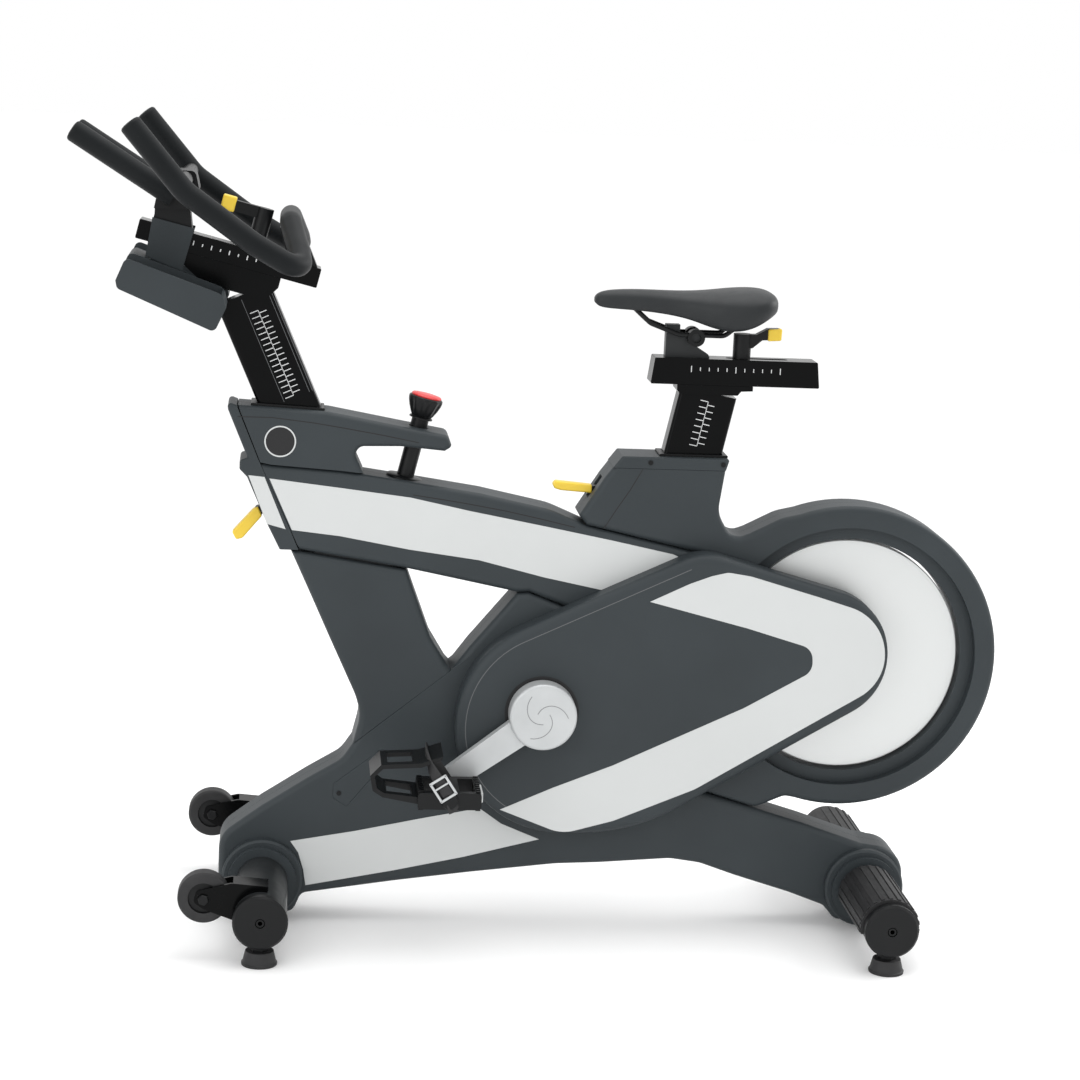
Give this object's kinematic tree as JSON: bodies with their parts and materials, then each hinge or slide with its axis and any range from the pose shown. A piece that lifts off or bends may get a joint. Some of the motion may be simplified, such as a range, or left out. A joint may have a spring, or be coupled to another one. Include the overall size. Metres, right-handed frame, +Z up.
{
  "type": "indoor cycling bike",
  "caption": "Indoor cycling bike with covered frame, rear flywheel, belt drive, sliding saddle, bullhorn handlebar and toe cage pedals.",
  "frame": {"origin": "on the floor under the middle of the bike's bounding box", "axes": "+X rearwards to the flywheel, +Y to the rider's right, +Z up"},
  "size_m": [1.3677, 0.512, 1.169],
  "materials": {
    "frame_paint": "satin",
    "steel": "satin",
    "flywheel_alloy": "satin",
    "cover_plastic": "matte",
    "silver_trim": "satin",
    "black_post": "gloss",
    "black_plastic": "satin",
    "yellow_sleeve": "satin",
    "grip_foam": "matte",
    "saddle_cover": "matte",
    "rubber": "matte",
    "crank_silver": "satin",
    "knob_plastic": "satin",
    "wheel_tyre": "matte"
  },
  "bodies": {
    "root": {"main_frame": "frame_paint", "stabiliser_tubes": "frame_paint", "stabiliser_end_caps": "black_plastic", "rear_stabiliser_treads": "rubber", "stabiliser_collars": "black_plastic", "wheel_brackets": "frame_paint", "head_covers": "cover_plastic", "beam_nose_cap": "cover_plastic", "beam_covers": "cover_plastic", "body_trims": "silver_trim", "down_tube_covers": "cover_plastic", "leg_covers": "cover_plastic", "service_hatches": "cover_plastic", "rear_covers": "cover_plastic", "seat_tower_cap": "cover_plastic", "belt_guard": "cover_plastic", "drive_cover_right": "cover_plastic", "drive_trims": "silver_trim", "cover_screws": "steel", "post_bushings": "black_plastic", "axle_bearings": "steel", "drive_belt": "rubber", "caliper_pin": "steel"},
    "crankset": {"crank_axle": "steel", "crank_arm_left": "crank_silver", "crank_arm_right": "crank_silver", "crank_hub_covers": "crank_silver", "crank_pulley": "flywheel_alloy"},
    "pedal_left": {"pedal_left": "black_plastic", "toe_cage_left": "black_plastic"},
    "pedal_right": {"pedal_right": "black_plastic", "toe_cage_right": "black_plastic"},
    "flywheel": {"flywheel": "flywheel_alloy", "flywheel_pulley": "steel", "flywheel_axle": "steel"},
    "brake_caliper": {"brake_caliper": "steel"},
    "knob_shaft": {"knob_shaft": "black_plastic"},
    "resistance_knob": {"resistance_knob": "knob_plastic"},
    "handlebar_post": {"handlebar_post": "black_post"},
    "handlebar_slider": {"handlebar_slide_rail": "black_post", "handlebar": "grip_foam", "aero_bars": "grip_foam", "handlebar_stem": "black_plastic", "bottle_holder": "cover_plastic", "holder_bands": "cover_plastic"},
    "handlebar_slide_lever": {"handlebar_slide_lever": "black_plastic"},
    "handlebar_post_lever": {"handlebar_post_lever": "yellow_sleeve"},
    "seat_post": {"seat_post": "black_post"},
    "seat_slider": {"seat_slide_rail": "black_post", "saddle_pillar": "black_post"},
    "saddle": {"saddle": "saddle_cover", "saddle_rails": "steel"},
    "seat_slide_lever": {"seat_slide_lever": "black_plastic"},
    "seat_post_lever": {"seat_post_lever": "yellow_sleeve"},
    "transport_wheel_left": {"transport_wheel_left": "wheel_tyre"},
    "transport_wheel_right": {"transport_wheel_right": "wheel_tyre"},
    "foot_front_left": {"foot_front_left": "rubber"},
    "foot_front_right": {"foot_front_right": "rubber"},
    "foot_rear_left": {"foot_rear_left": "rubber"},
    "foot_rear_right": {"foot_rear_right": "rubber"}
  },
  "joints": [
    {"name": "handlebar_height", "type": "slide", "parent": "root", "child": "handlebar_post", "axis": [-0.4067, 0, 0.9135], "range_m": [-0.1, 0.05]},
    {"name": "handlebar_reach", "type": "slide", "parent": "handlebar_post", "child": "handlebar_slider", "axis": [0.972, 0, -0.2351], "range_m": [-0.006, 0.024]},
    {"name": "handlebar_slide_lever_turn", "type": "hinge", "parent": "handlebar_post", "child": "handlebar_slide_lever", "pos_m": [-0.42295, 0, 0.98304], "axis": [0.2351, 0, 0.972], "range_deg": [0, 60]},
    {"name": "handlebar_post_lever_lift", "type": "hinge", "parent": "root", "child": "handlebar_post_lever", "pos_m": [-0.3897, 0, 0.618], "axis": [0, 1, 0], "range_deg": [0, 35]},
    {"name": "seat_height", "type": "slide", "parent": "root", "child": "seat_post", "axis": [0.1994, 0, 0.9799], "range_m": [-0.07, 0.1]},
    {"name": "seat_fore_aft", "type": "slide", "parent": "seat_post", "child": "seat_slider", "axis": [1, 0, 0], "range_m": [-0.06, 0.015]},
    {"name": "saddle_tilt", "type": "hinge", "parent": "seat_slider", "child": "saddle", "pos_m": [0.2133, 0, 0.88], "axis": [0, 1, 0], "range_deg": [-8, 3]},
    {"name": "seat_slide_lever_turn", "type": "hinge", "parent": "seat_post", "child": "seat_slide_lever", "pos_m": [0.2843, 0, 0.85], "axis": [0, 0, 1], "range_deg": [0, 70]},
    {"name": "seat_post_lever_lift", "type": "hinge", "parent": "root", "child": "seat_post_lever", "pos_m": [0.1043, 0, 0.652], "axis": [0, 1, 0], "range_deg": [0, 30]},
    {"name": "flywheel_spin", "type": "hinge", "parent": "root", "child": "flywheel", "pos_m": [0.4583, 0, 0.417], "axis": [0, 1, 0], "continuous": true},
    {"name": "crank_spin", "type": "hinge", "parent": "root", "child": "crankset", "pos_m": [0.0083, 0, 0.334], "axis": [0, 1, 0], "continuous": true},
    {"name": "pedal_left_spin", "type": "hinge", "parent": "crankset", "child": "pedal_left", "pos_m": [-0.12818, 0, 0.23264], "axis": [0, 1, 0], "continuous": true},
    {"name": "pedal_right_spin", "type": "hinge", "parent": "crankset", "child": "pedal_right", "pos_m": [0.14478, 0, 0.43536], "axis": [0, 1, 0], "continuous": true},
    {"name": "knob_push", "type": "slide", "parent": "root", "child": "knob_shaft", "axis": [-0.225, 0, -0.9744], "range_m": [0, 0.008], "stiffness_N_per_m": 900, "springref_m": -0.01},
    {"name": "knob_turn", "type": "hinge", "parent": "knob_shaft", "child": "resistance_knob", "pos_m": [-0.1987, 0, 0.661], "axis": [0.225, 0, 0.9744], "range_deg": [-360, 360]},
    {"name": "brake_swing", "type": "hinge", "parent": "root", "child": "brake_caliper", "pos_m": [0.2403, 0, 0.421], "axis": [0, 1, 0], "range_deg": [-6, 6]},
    {"name": "wheel_left_spin", "type": "hinge", "parent": "root", "child": "transport_wheel_left", "pos_m": [-0.4697, -0.21, 0.092], "axis": [0, 1, 0], "continuous": true},
    {"name": "wheel_right_spin", "type": "hinge", "parent": "root", "child": "transport_wheel_right", "pos_m": [-0.4697, 0.21, 0.092], "axis": [0, 1, 0], "continuous": true},
    {"name": "foot_front_left_level", "type": "slide", "parent": "root", "child": "foot_front_left", "axis": [0, 0, -1], "range_m": [0, 0.012]},
    {"name": "foot_front_right_level", "type": "slide", "parent": "root", "child": "foot_front_right", "axis": [0, 0, -1], "range_m": [0, 0.012]},
    {"name": "foot_rear_left_level", "type": "slide", "parent": "root", "child": "foot_rear_left", "axis": [0, 0, -1], "range_m": [0, 0.012]},
    {"name": "foot_rear_right_level", "type": "slide", "parent": "root", "child": "foot_rear_right", "axis": [0, 0, -1], "range_m": [0, 0.012]}
  ],
  "couplings": [
    {"joint": "crank_spin", "follows": "flywheel_spin", "ratio": 0.28},
    {"joint": "brake_swing", "follows": "knob_turn", "ratio": 0.0166}
  ]
}
